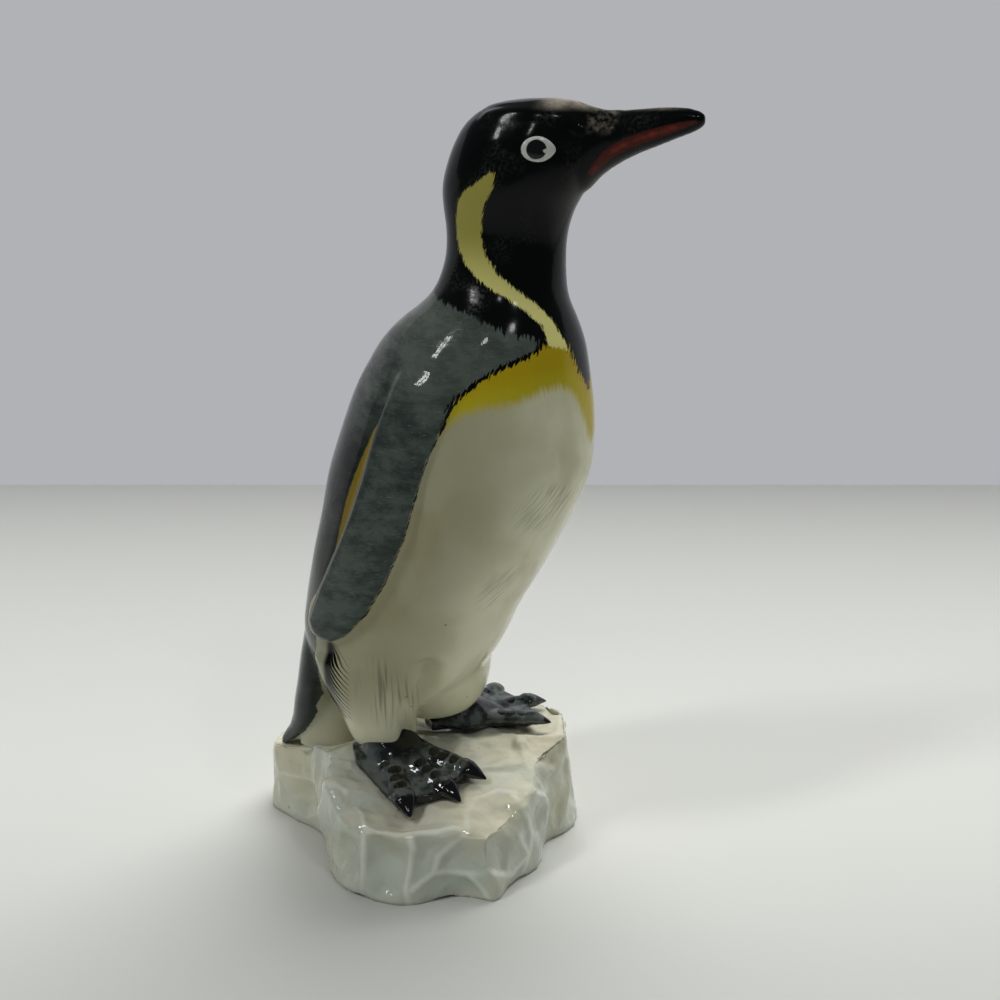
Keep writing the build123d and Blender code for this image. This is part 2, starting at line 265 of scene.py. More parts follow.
flipperShape = {  # front and rear edge as place and height, and how far the blade stands out
    "rows": [
        ((-27.5, 134), (-14, 136), -2.0), ((-26.5, 130), (-11, 132), -0.2),
        ((-24.9, 125.5), (-8.9, 128), 0.9), ((-22.0, 118), (-6.4, 122), 1.6),
        ((-18.6, 109.6), (-4.4, 115.3), 2.2), ((-16.2, 101), (-1.8, 105), 2.5),
        ((-13.0, 91), (1.6, 95.6), 2.7), ((-7.2, 79.4), (6.4, 85.4), 2.9), ((-1.0, 70.2), (11.6, 76), 3.1),
        ((5.4, 63.6), (15.0, 70), 3.2), ((9.2, 61.4), (15.8, 65.4), 3.1), ((12, 60.9), (15.0, 62.6), 2.4),
    ],
    "blunt": 0.5,
    "sink": 1.6,
    "rearLift": 0.9,
}

legShape = {  # a ring is a height above the hem, its lean towards the top and its half width
    "hems": {-1: (-9.5, 3.1, 29.2), 1: (7.5, -7.0, 31.8)},
    "tops": {-1: (-14.8, 7.6, 61.0), 1: (4.5, -5.0, 60.0)},
    "rings": {
        -1: [
            (-0.8, -0.02, 6.6), (0.4, 0.0, 8.0), (3, 0.08, 8.8), (8, 0.24, 9.8), (13, 0.45, 11.0),
            (19, 0.7, 12.0), (25, 0.9, 12.2), (31, 0.5, 10.4),
        ],
        1: [
            (-0.4, 0.0, 6.4), (1.2, 0.1, 9.4), (4, 0.25, 11.8), (8, 0.45, 13.6), (13, 0.7, 15.2),
            (19, 0.9, 16), (26, 0.9, 15),
        ],
    },
    "frontRise": {-1: 0.02, 1: 0.2},  # how far the hem tips up in front, gone at this height:
    "riseHeight": 13,
}

tailShape = {  # height, place front to back, half depth, half width
    "wedge": [
        (66, 14, 11.6, 17), (60, 16.4, 10.6, 17), (51, 19.4, 9.2, 16.4), (43, 22, 8.2, 14.6),
        (36, 24.8, 7.2, 11.8), (30, 27.6, 5.8, 8.8), (26.4, 30.2, 4.6, 6.4), (23.6, 33.2, 3.6, 4.2),
        (21.4, 35.9, 2.3, 2.5), (19.6, 37.8, 0.9, 1.0),
    ],
    "under": [
        (52, 12, 10, 12), (43, 15.4, 9.4, 10.5), (35, 18, 9.6, 9.4), (28, 20.6, 10.4, 8.6),
        (22, 22, 10.6, 8.4),
    ],
}


def birdRing(height):
    table = np.array(birdShape["rings"], float)
    slopes = np.gradient(table[:, 1:], table[:, 0], axis=0)
    number = int(np.clip(np.searchsorted(table[:, 0], height) - 1, 0, len(table) - 2))
    low, high = table[number], table[number + 1]
    run = high[0] - low[0]
    t = (height - low[0]) / run
    return (
        (1 + 2 * t) * (1 - t) ** 2 * low[1:] + t * (1 - t) ** 2 * run * slopes[number]
        + t * t * (3 - 2 * t) * high[1:] + t * t * (t - 1) * run * slopes[number + 1]
    )


def flankPoint(height, place):  # a point on the left flank, and the way straight out of it
    middle, depth, width = birdRing(height)
    limit = birdShape["flankLimit"]
    along = max(-limit, min(limit, (place - middle) / depth))
    across = math.sqrt(1 - along * along)
    out = Vector((across / width, along / depth, 0)).normalized()
    return Vector((across * width, place, height)), out


def addFlipper(bm, side):  # a blade that follows the flank, blunt at its edges
    blunt, loops = flipperShape["blunt"], []
    last = len(flipperShape["rows"]) - 1
    for number, (front, rear, height) in enumerate(flipperShape["rows"]):
        verts = bmesh.ops.create_circle(bm, cap_ends=number in (0, last), segments=48, radius=1)["verts"]
        for vert in verts:
            along, rise = (math.copysign(abs(share) ** blunt, share) for share in vert.co.xy)
            place = (front[0] + rear[0]) / 2 + along * (rear[0] - front[0]) / 2
            level = (front[1] + rear[1]) / 2 + along * (rear[1] - front[1]) / 2
            point, out = flankPoint(level, place)
            lift = height + flipperShape["rearLift"] * (along + 1) / 2 * (height > 0)
            stand = lift * rise if rise > 0 else flipperShape["sink"] * rise
            vert.co = point + out * (stand + min(height, 0))
            vert.co.x *= side
        loops.append(ringEdges(verts))
    bridge(bm, loops)


def addLeg(bm, side):
    hem, top = Vector(legShape["hems"][side]), Vector(legShape["tops"][side])
    rings = []
    for rise, lean, half in legShape["rings"][side]:
        centre = hem.lerp(top, lean)
        share = max(0, 1 - rise / legShape["riseHeight"])
        tilt = Matrix.Rotation(-legShape["frontRise"][side] * share, 3, "X")
        rings.append(((centre.x, centre.y, hem.z + rise), (half, half), tilt))
    addLoft(bm, rings)


def makeSkin():
    bm = bmesh.new()
    first, last = birdShape["rings"][0][0], birdShape["rings"][-1][0]
    crown = birdShape["crownLevels"]
    rings, bill = [], []
    for level in list(np.arange(first, crown[0], birdShape["ringStep"])) + crown + [last]:
        middle, depth, width = birdRing(level)
        rings.append(((0, middle, level), (width, depth), upright))
    addLoft(bm, rings, 72)
    for y, top, low, half in billRings:
        bill.append(((0, y, (top + low) / 2), (half, (top - low) / 2), lying))
    addLoft(bm, bill)
    for side in (-1, 1):
        addFlipper(bm, side)
        addLeg(bm, side)
    for rows in tailShape.values():
        addLoft(bm, [((0, y, z), (wide, deep), upright) for z, y, deep, wide in rows])
    skin = makeObject("skin", bm)
    fuse(skin, voxel("skinVoxel"), 3)
    sink(skin, -birdShape["swell"])
    return skin


skinLines = {  # depth, reach and course of each line on the right side; a negative depth stands out
    "browRidge": (-0.55, 3.2, [
        (-10, -26, 189.6), (-10.4, -36, 189.7), (-8.4, -43, 188.4), (-6.2, -48, 186.4),
    ]),
    "browHollow": (0.3, 4.5, [(-12.8, -33, 186.2), (-11, -41.5, 185.2), (-8.2, -47.5, 182.5)]),
    "eyeFold": (0.4, 2.2, [(-12.2, -44.6, 180.8), (-9.4, -47.8, 179), (-7.4, -50, 177.4)]),
    "gape": (0.18, 1.2, [
        (-6.6, -49.4, 175), (-6.0, -51.6, 177.4), (-5.2, -54.5, 179.4), (-4.2, -59, 181.9),
        (-3.2, -66, 184.6), (-1.9, -73.5, 187),
    ]),
    "forehead": (0.3, 4.0, [(-5, -51.5, 189), (0, -52, 190.8), (5, -51.5, 189)]),  # carved once
    "thighFold": (2.6, 5.4, [(-21.4, -13.8, 54), (-19.2, -11.8, 47), (-16.4, -8.6, 39), (-13.3, -6.4, 32)]),
    "slit": (0.9, 2.6, [
        (-25.6, -4.5, 122), (-27.4, -0.6, 113.5), (-28, 2.2, 104), (-27.4, 5.6, 94.6), (-26.4, 9.6, 84),
        (-24.8, 14.2, 74),
    ]),
    "tailEdge": (0.45, 1.8, [
        (-15, 19.4, 46), (-13, 21.2, 40), (-11.6, 21.8, 35), (-9.6, 24.6, 30.4), (-7.4, 27.8, 26.9),
        (-3.6, 32, 22.8),
    ]),
}
skinForms = {
    "swellings": [((27, -17, 132), 15, -0.8), ((14.6, -30, 170), 9, -0.5)],  # shoulder and cheek
    "blendBelow": 66,  # height under which the far leg runs softly into the belly
    "blendPasses": 60,
    "blendLimits": [(-2, 3), (-12, -7.5)],  # from this far across, and in front of this place
    "waves": (11, 0.16),  # size and height
    "nostril": ((5.2, -52, 187), 4.6),
    "nostrilWaves": (1.7, 0.5),
}


def sculptSkin(skin):
    for name, (depth, reach, corners) in skinLines.items():
        line = smoothLine(corners)
        carve(skin, [line] if name == "forehead" else [line, mirrored(line)], depth, reach)
    for side in (-1, 1):
        press(skin, [((side * x, y, z), reach, depth) for (x, y, z), reach, depth in skinForms["swellings"]])
    x, y, z = readVerts(skin).T
    past, ahead = [(x > across) & (y < place) for across, place in skinForms["blendLimits"]]
    relax(skin, skinForms["blendPasses"], (z < skinForms["blendBelow"]) & (past | ahead))
    relax(skin, 2)
    ripple(skin, *skinForms["waves"])
    middle, reach = skinForms["nostril"]
    points = readVerts(skin)
    points[:, 0] = np.abs(points[:, 0])
    ripple(skin, *skinForms["nostrilWaves"], falloff(np.linalg.norm(points - middle, axis=1), reach))


# Where each colour is painted on the bird. A place on it is an angle round the bird, from 0
# at its front to 180 at its back, and a height.

birdPaint = {
    "ear": [
        (92, 175.8), (96, 176.6), (100, 175.6), (105, 174.4), (112, 173.4), (120, 172), (127, 169.6),
        (130.5, 165.5), (130, 161.5), (125, 158.2), (115, 155.4), (94, 151.2), (68, 147.4), (51, 144.5),
        (37, 140.8), (33, 136), (18, 134.6), (23, 138.4), (29, 142.4), (42, 146), (60, 149.3), (78, 152.8),
        (93, 157.4), (99, 162), (97, 168), (91, 172.5),
    ],
    "black": [
        (220, 149), (180, 148.6), (150, 148), (127, 146.5), (97, 144.2), (74, 141.7), (59, 139.4),
        (41, 137.8), (36, 136.4), (20, 135.6), (14, 132.3), (11, 129.4), (5, 127), (0, 124.4), (-12, 127),
        (-30, 136), (-30, 260), (220, 260),
    ],
    "slate": [
        (220, 165), (100, 165), (59, 141), (41, 139), (36.5, 137.2), (42, 135.1), (51, 133.5), (60, 131.8),
        (68, 129.6), (76, 126.6), (81, 123.8), (84, 120.8), (87, 116.5), (94, 114), (106, 117), (113, 121),
        (117, 120), (121.5, 115.5), (123.5, 110), (125, 104), (126.5, 97), (127, 90), (126.5, 84),
        (126.5, 76), (127.4, 66), (128, 59), (220, 59),
    ],
    "yellow": [
        (-30, 110), (0, 111), (5, 113.5), (10, 118.6), (16, 123.4), (22, 125.6), (28, 126.1), (36, 125.7),
        (43, 124.9), (49, 123.6), (58, 122.8), (67, 122.4), (76, 120.6), (82, 118), (88, 114), (100, 112),
        (100, 150), (-30, 150),
    ],
    "strip": [(103, 124), (122, 122), (132, 112), (134, 96), (132, 82), (122, 76), (106, 80), (98, 100)],
    "blade": [  # seen from the side, as place front to back and height
        (-24.5, 126), (-21.6, 118), (-18.2, 109.6), (-15.8, 101), (-12.6, 91), (-7, 79.4), (-0.8, 70),
        (6, 63), (11, 60.2), (15, 61.2), (16.8, 66), (12.2, 76), (7, 85.4), (2.2, 95.6), (-1.2, 105),
        (-3.8, 115.3), (-6, 124), (-14, 130),
    ],
    "tail": [
        (48, 61), (16.6, 61), (16.9, 58), (18.4, 52.4), (19.3, 46.6), (19.3, 41), (22.4, 36.6),
        (22.5, 34.2), (25.3, 30.3), (28, 26.9), (32.4, 22.9), (38, 18.6), (48, 18),
    ],
    "bill": [  # the red plate
        (-49.3, 176.1), (-50.8, 178.5), (-52.9, 180.9), (-55.2, 182.6), (-57.4, 183.7), (-61.5, 185.3),
        (-66, 186.6), (-70.6, 187.6), (-74.4, 188), (-74.4, 187.3), (-69.5, 185.4), (-63.8, 183.3),
        (-59.3, 181.8), (-55.1, 179.7), (-52.4, 177.6), (-50.2, 175.4),
    ],
    "bladeMiddle": [  # height and place
        (60, 13), (66, 11.5), (76, 5.6), (85, -0.4), (95, -5.2), (105, -8.6), (115, -12.4), (126, -15),
    ],
    "bladeAcross": 15,  # the blade's outline counts beyond this
    "bladeTop": 128,
    "farthest": 9,  # distances are kept up to this
    "tuftLine": (20.8, -0.15),  # place at height 0, and its change with height
    "tuftCurve": 4.6,
    "thighAcross": (0.31, 0.95),
    "slant": (0.87, 0.5),
}


def paintedDistance(across, up, scale, outline):  # in mm, positive inside the outline
    nearest = np.full(len(up), 1e9)
    inside = np.zeros(len(up), bool)
    corners = [tuple(corner) for corner in outline]
    for (acrossA, upA), (acrossB, upB) in zip(corners, corners[1:] + corners[:1]):
        runAcross, runUp = (acrossB - acrossA) * scale, upB - upA
        gapAcross, gapUp = (across - acrossA) * scale, up - upA
        share = np.clip(
            (gapAcross * runAcross + gapUp * runUp) / (runAcross**2 + runUp**2 + 1e-9), 0, 1
        )
        nearest = np.minimum(nearest, np.hypot(gapAcross - share * runAcross, gapUp - share * runUp))
        if upA != upB:
            cut = acrossA + (up - upA) / (upB - upA) * (acrossB - acrossA)
            inside ^= ((upA > up) != (upB > up)) & (across < cut)
    return np.where(inside, nearest, -nearest)


def keepField(piece, name, values):
    values = np.stack(values, axis=1) if isinstance(values, tuple) else np.asarray(values, float)
    kind = "FLOAT_VECTOR" if values.ndim == 2 else "FLOAT"
    kept = piece.data.attributes.new(name, kind, "POINT")
    kept.data.foreach_set("vector" if values.ndim == 2 else "value", values.ravel())


def paintSkin(skin):
    x, y, z = readVerts(skin).T
    levels = np.arange(30, 193, 0.5)
    table = np.array([birdRing(level) for level in levels])
    middle, depth, width = (np.interp(z, levels, column) for column in table.T)
    angle = np.degrees(np.arctan2(np.abs(x), middle - y))
    perDegree = np.radians((depth + width) / 2)
    for name in ("ear", "black", "yellow", "strip"):
        keepField(skin, name, paintedDistance(angle, z, perDegree, birdPaint[name]))
    one, far = np.ones(len(x)), birdPaint["farthest"]
    beside = np.abs(x) > birdPaint["bladeAcross"]
    blade = np.where(beside, paintedDistance(y, z, one, birdPaint["blade"]), -far)
    cape = paintedDistance(angle, z, perDegree, birdPaint["slate"])
    tail = paintedDistance(y, z, one, birdPaint["tail"])
    behind = np.clip(y - np.interp(z, *np.array(birdPaint["bladeMiddle"], float).T), -far, far)
    start, slope = birdPaint["tuftLine"]
    ahead = start + slope * z - y  # how far in front of the tuft's line a point is
    leaves = z + birdPaint["tuftCurve"] * np.sqrt(np.maximum(ahead, 0))  # where its hair left the line
    across, along = birdPaint["thighAcross"]
    arc = angle * perDegree
    cosine, sine = birdPaint["slant"]
    fields = {
        "bill": paintedDistance(y, z, one, birdPaint["bill"]),
        "blade": np.clip(blade, -far, far),
        "slate": np.maximum(np.maximum(cape, blade), tail),
        "rear": np.where(z > birdPaint["bladeTop"], -far, behind),
        "fold": lineDistance(np.stack([-np.abs(x), y, z], axis=1), smoothLine(skinLines["thighFold"][2])),
        "tuft": (leaves, ahead, z),
        "thigh": (across * np.abs(x) + along * y, z, y),
        "wrap": (arc, z, y),
        "slant": (cosine * arc + sine * z, cosine * z - sine * arc, y),
    }
    for name, values in fields.items():
        keepField(skin, name, values)


# Shader tools: each adds a node to the glaze being mixed, and takes numbers, paints or sockets

mixing = {}


def colour(red, green, blue):  # a paint written as 0 to 255
    linear = [c / 255 / 12.92 if c < 11 else ((c / 255 + 0.055) / 1.055) ** 2.4 for c in (red, green, blue)]
    return (*linear, 1)


def newMaterial(name):
    material = bpy.data.materials.new(name)
    material.use_nodes = True
    mixing["tree"] = material.node_tree
    mixing["tree"].nodes.clear()
    return material


def wire(kind, inputs, **settings):
    made = mixing["tree"].nodes.new("ShaderNode" + kind)
    for key, value in settings.items():
        setattr(made, key, value)
    for key, value in inputs.items():
        if isinstance(value, bpy.types.NodeSocket):
            mixing["tree"].links.new(value, made.inputs[key])
        else:
            made.inputs[key].default_value = value
    return made.outputs


def objectSpot():
    return wire("TexCoord", {})["Object"]


def field(name):
    return wire("Attribute", {}, attribute_name=name)["Fac"]


def vectorField(name):
    return wire("Attribute", {}, attribute_name=name)["Vector"]


def calc(operation, a, b=0.0, c=0.0):
    return wire("Math", {0: a, 1: b, 2: c}, operation=operation)[0]


def less(a, b):
    return calc("SUBTRACT", a, b)


def larger(a, b):
    return calc("MAXIMUM", a, b)


def scaled(value, times, plus):
    return calc("MULTIPLY_ADD", value, times, plus)


def product(first, *others):
    for other in others:
        first = calc("MULTIPLY", first, other)
    return first


def mixed(share, *paints):  # each is a socket or 0 to 255
    low, high = (colour(*paint) if isinstance(paint, tuple) else paint for paint in paints)
    return wire("Mix", {0: share, 6: low, 7: high}, data_type="RGBA")[2]


def tinted(base, paint, *shares):
    return mixed(product(*shares), base, paint)


def stepUp(value, low, high):  # 0 below low, 1 above high
    ends = {"Value": value, "From Min": low, "From Max": high}
    return wire("MapRange", ends, interpolation_type="SMOOTHSTEP")[0]


def stepDown(value, low, high):  # 1 below low, 0 above high
    return less(1.0, stepUp(value, low, high))


def between(value, low, high, soft):  # 1 from low to high
    return product(stepUp(value, low - soft, low + soft), stepDown(value, high - soft, high + soft))


def ellipseOf(across, up, middle, half):  # 0 at the middle, 1 on the ellipse
    a = calc("DIVIDE", less(across, middle[0]), half[0])
    b = calc("DIVIDE", less(up, middle[1]), half[1])
    return calc("SQRT", calc("ADD", product(a, a), product(b, b)))


def noiseOf(vector, scale, detail=3.0, rough=0.5):
    return wire("TexNoise", {"Vector": vector, "Scale": scale, "Detail": detail, "Roughness": rough})[0]


def strokes(vector, scale, detail, rough=0.5):  # noise drawn out into brush strokes
    return noiseOf(wire("Mapping", {"Vector": vector, "Scale": scale})[0], 1.0, detail, rough)


def brushed(distance, grain, reach, soft=0.25):  # an edge that a brush has feathered
    return stepUp(scaled(less(grain, 0.5), reach, distance), -soft, soft)


def bumped(strength, distance, height):
    return wire("Bump", {"Strength": strength, "Distance": distance, "Height": height})[0]


def glaze(base, rough, bump, ior=1.5):
    surface(wire("BsdfPrincipled", {"Base Color": base, "Roughness": rough, "IOR": ior, "Normal": bump})[0])


def surface(shader):
    wire("OutputMaterial", {0: shader})


birdGlaze = {
    "white": (229, 227, 199),
    "whiteShade": (209, 206, 174),
    # painted shade: the belly darker towards its flanks
    "flank": (154, 151, 121),
    "tintAndShade": (158, 142, 104),
    "fold": (134, 134, 92),
    "under": (134, 136, 112),
    "pencil": (92, 94, 76),
    "mustard": (182, 158, 24),
    "yellow": (186, 172, 36),
    "strip": (132, 112, 38),
    "ear": (156, 149, 74),
    "earLowGlare": (234, 228, 146),
    "slate": (80, 89, 83),
    "slateDark": (49, 57, 54),
    "slatePale": (112, 120, 108),
    "slateBackShade": (16, 20, 19),
    "rim": (142, 148, 134),
    "black": (5, 7, 7),
    "dust": (28, 31, 28),
    "crownSheen": (160, 150, 134),
    "pitsAndGlints": (112, 106, 92),
    "red": (70, 20, 15),
    "orange": (124, 44, 26),
    "roughness": 0.07,
    "ior": 1.26,
}

birdMarks = {  # limits in mm: a rise, a fall where the second is lower, or a span and its softness
    "flank": [("arc", 14, 42)],
    "beside": [("slate", -9, 1, 3), ("z", 66, 112, 5)],
    "fold": [("fold", 6, 0.5)],
    "under": [("y", 9, 14), ("z", 64, 58)],
    "cape": [("z", 114, 128), ("arc", 60, 46)],
    "rim": [("blade", 0.1, 0.75, 0.2), ("rear", 0.5, 2), ("z", 114, 106)],
    "back": [("rear", 4, 9), ("z", 125, 106)],
    "tail": [("z", 52, 34)],
    "fringe": [("z", 60, 68), ("rear", 0, -2)],
    "longFringe": [("z", 110, 126)],
    "tuft": [("ahead", -0.6, 7.2, 0.9), ("start", 45.5, 66, 2.5), ("z", 37.5, 60.5, 0.8)],
    "thinHair": [("ahead", 0, 6.5)],
    "throat": [("z", 144, 136)],
    "crown": [("z", 189.8, 192), ("y", -51, -40, 4)],
    "culmen": [("z", 189.9, 191.2), ("y", -70, -54, 4)],
    "pits": [("y", -56, -49.5, 1.2), ("z", 184, 187)],
    "ear": [("z", 164, 142)],
}
pencilling = {  # middle, half sizes and strength of each patch of strokes
    "belly": [((15, 97), (11, 7.5), 0.42), ((18, 76), (5.5, 6.5), 0.4)],
    "thigh": ((-2.5, 47), (7.5, 12), 0.5),
}


def within(spots, name):  # 1 where all the limits of a mark hold
    shares = []
    for where, low, high, *soft in birdMarks[name]:
        if soft:
            shares.append(between(spots[where], low, high, *soft))
        else:
            step, ends = (stepUp, (low, high)) if low < high else (stepDown, (high, low))
            shares.append(step(spots[where], *ends))
    return product(*shares)


def addPencilling(base, spots, slant, spot):  # the fine grey strokes on belly and thigh
    pencil = birdGlaze["pencil"]
    ruled = stepUp(strokes(slant, (2.2, 0.12, 0), 2, 0.6), 0.44, 0.6)
    for middle, half, strength in pencilling["belly"]:
        near = stepDown(ellipseOf(spots["arc"], spots["z"], middle, half), 0.45, 1.1)
        base = tinted(base, pencil, ruled, near, strength)
    combed = stepUp(strokes(vectorField("thigh"), (1.2, 0.05, 0), 1), 0.46, 0.66)
    middle, half, strength = pencilling["thigh"]
    near = stepDown(ellipseOf(spots["y"], spots["z"], middle, half), 0.5, 1.1)
    base = tinted(base, pencil, combed, near, strength)
    # painted shade in the fold between the near leg and the belly
    base = tinted(base, birdGlaze["fold"], within(spots, "fold"), 0.3)
    return tinted(base, pencil, stepUp(noiseOf(spot, 560, 1, 0.4), 0.80, 0.82), 0.7)


def tuftHairs(spots):  # dark hairs below the flipper, thinner towards their tips
    wander = product(noiseOf(vectorField("tuft"), 0.35, 2), 0.4)
    wave = calc("ABSOLUTE", less(calc("FRACT", scaled(spots["start"], 0.62, wander)), 0.5))
    thick = scaled(within(spots, "thinHair"), -0.46, 0.55)
    return product(stepUp(less(thick, wave), -0.05, 0.06), within(spots, "tuft"))


def makeBirdGlaze():
    material = newMaterial("birdGlaze")
    paint, spot = birdGlaze, objectSpot()
    wrap, slant = vectorField("wrap"), vectorField("slant")
    spots = {name: field(name) for name in ("slate", "rear", "blade", "fold")}
    spots.update(zip(("arc", "z", "y"), wire("SeparateXYZ", {0: wrap})))
    spots.update(zip(("start", "ahead"), wire("SeparateXYZ", {0: vectorField("tuft")})))
    cloudy, fine = noiseOf(spot, 60), noiseOf(spot, 700, 4)
    base = mixed(stepUp(cloudy, 0.35, 0.7), paint["white"], paint["whiteShade"])
    # painted shade: the belly darker from the front round towards the flanks
    base = tinted(base, paint["flank"], within(spots, "flank"), 0.85)
    # a browner, darker tone beside the flipper: partly the glaze's tint, partly painted shade next to the
    # flipper
    base = tinted(base, paint["tintAndShade"], within(spots, "beside"), stepUp(cloudy, 0.4, 0.62), 0.35)
    base = addPencilling(base, spots, slant, spot)

    streaks = strokes(wrap, (1.8, 0.13, 0), 3, 0.6)  # down the bird
    slanted = strokes(slant, (2.0, 0.16, 0), 3, 0.6)
    deepness = scaled(slanted, 4.0, field("yellow"))
    chest = mixed(stepUp(deepness, 3.4, 8.6), paint["yellow"], paint["mustard"])
    base = mixed(brushed(field("yellow"), streaks, 4.0, 1.7), base, chest)
    base = mixed(brushed(field("strip"), streaks, 2.0, 1.2), base, paint["strip"])
    # painted shade low on the back, under the tail and beside the leg
    base = tinted(base, paint["under"], within(spots, "under"), 0.6)

    blotches = stepUp(strokes(wrap, (0.09, 0.22, 0.1), 6, 0.7), 0.35, 0.64)
    slate = mixed(blotches, paint["slateDark"], paint["slate"])
    dashes = stepUp(strokes(wrap, (0.42, 2.6, 0), 2), 0.58, 0.78)
    flecks = stepUp(strokes(wrap, (0.8, 3.4, 0), 1), 0.72, 0.78)
    slate = tinted(slate, paint["slatePale"], dashes, 0.5)
    slate = tinted(slate, paint["slatePale"], flecks, 0.7)
    slate = tinted(slate, paint["slatePale"], within(spots, "cape"), 0.22)
    # a lighter band along the flipper's rear edge: worn glaze, with a painted highlight where the edge
    # catches the light
    slate = tinted(slate, paint["rim"], within(spots, "rim"), 0.8)
    # painted shade: the slate darker towards the back
    slate = tinted(slate, paint["slateBackShade"], within(spots, "back"), 0.75)
    slate = tinted(slate, paint["slateDark"], within(spots, "tail"), 0.75)
    base = mixed(brushed(spots["slate"], fine, 0.5, 0.2), base, slate)

    ticks = scaled(strokes(slant, (2.0, 0.34, 0), 2, 0.6), 6.0, -2.0)
    reach = product(ticks, scaled(within(spots, "longFringe"), 0.5, 0.12))
    fringe = less(reach, calc("ABSOLUTE", calc("ADD", spots["slate"], 0.1)))
    base = tinted(base, paint["black"], stepUp(fringe, -0.1, 0.15), within(spots, "fringe"))
    base = mixed(tuftHairs(spots), base, paint["black"])

    throat = scaled(within(spots, "throat"), 7.0, 3.0)
    blackEdge = brushed(field("black"), slanted, throat, 0.3)
    dusty = product(stepUp(noiseOf(spot, 1400, 2), 0.36, 0.75), stepUp(noiseOf(spot, 90, 2), 0.5, 0.68))
    dark = mixed(dusty, paint["black"], paint["dust"])
    # painted highlight: a pale sheen on the crown and a fainter line along the top of the bill, where the
    # glaze is also rougher
    sheenAndWear = larger(within(spots, "crown"), product(within(spots, "culmen"), 0.5))
    sheenAndWear = product(sheenAndWear, stepUp(noiseOf(spot, 130, 5, 0.65), 0.2, 0.72))
    dark = tinted(dark, paint["crownSheen"], sheenAndWear, 0.95)
    # pale specks by the nostril: pitted glaze and painted glints
    rugged = stepUp(noiseOf(spot, 520, 5, 0.6), 0.42, 0.68)
    dark = tinted(dark, paint["pitsAndGlints"], rugged, within(spots, "pits"), 0.6)
    base = mixed(blackEdge, base, dark)
    # the ear patch, lighter towards its lower end as a painted highlight
    ear = mixed(within(spots, "ear"), paint["ear"], paint["earLowGlare"])
    base = mixed(brushed(field("ear"), strokes(wrap, (2.6, 0.5, 0), 3, 0.6), 2.6), base, ear)

    glow = stepUp(scaled(noiseOf(spot, 330, 4, 0.65), 2.6, field("bill")), 1.75, 3.0)
    plate = mixed(glow, paint["red"], paint["orange"])
    base = mixed(brushed(field("bill"), fine, 0.35), base, plate)

    rough = scaled(dusty, 0.3, scaled(sheenAndWear, 0.1, paint["roughness"]))
    rough = scaled(blackEdge, 0.06, rough)
    glaze(base, rough, bumped(0.12, 0.0006, noiseOf(spot, 160)), paint["ior"])
    return material


seams = {  # a place on each join between castings, and the way out of the body there
    "neck": ((0, 0, 149), (0, 0, 1)),
    "bill": ((0, -50.5, 182), (0, -1, 0)),
    "tail": ((0, 28, 64), (0, 0.956, -0.294)),
}


def keepNormals(piece):  # lights a cut edge as if the surface went on past it
    wanted = np.zeros(len(piece.data.vertices) * 3)
    piece.data.attributes["before"].data.foreach_get("vector", wanted)
    wanted = wanted.reshape(-1, 3)
    wanted /= np.maximum(np.linalg.norm(wanted, axis=1), 1e-6)[:, None]
    corners = [
        tuple(wanted[vert]) if face.use_smooth else tuple(face.normal)
        for face in piece.data.polygons for vert in face.vertices
    ]
    piece.data.normals_split_custom_set(corners)
    piece.data.attributes.remove(piece.data.attributes["before"])


def partAt(piece, place, outward):  # cuts a closed piece in two closed ones, and returns the outer one
    outer = bpy.data.objects.new("outer", piece.data.copy())
    bpy.context.scene.collection.objects.link(outer)
    for half, normal in ((piece, Vector(outward)), (outer, -Vector(outward))):
        bm = bmesh.new()
        bm.from_mesh(half.data)
        for face in chisel(bm, Vector(place), normal):
            face.smooth = False
        bm.to_mesh(half.data)
        bm.free()
    return outer


# The eyes: a low glazed dome with a drawn-out front corner

eyeShape = {
    "half": (4.0, 3.05),
    "stand": 0.8,
    "sink": 1.6,
    "corner": 0.3,
    "pinch": 0.22,
    "pupil": (2.4, 2.25),
    "pupilBack": 0.45,
    # a painted highlight: the white wedge at the pupil's front
    "notch": (1.7, 0.3, 0.7, 0.5),
    "rings": [(-1.0, 1.0), (0.0, 1.0), (0.45, 0.93), (0.8, 0.72), (0.95, 0.45), (1.0, 0.2)],
}


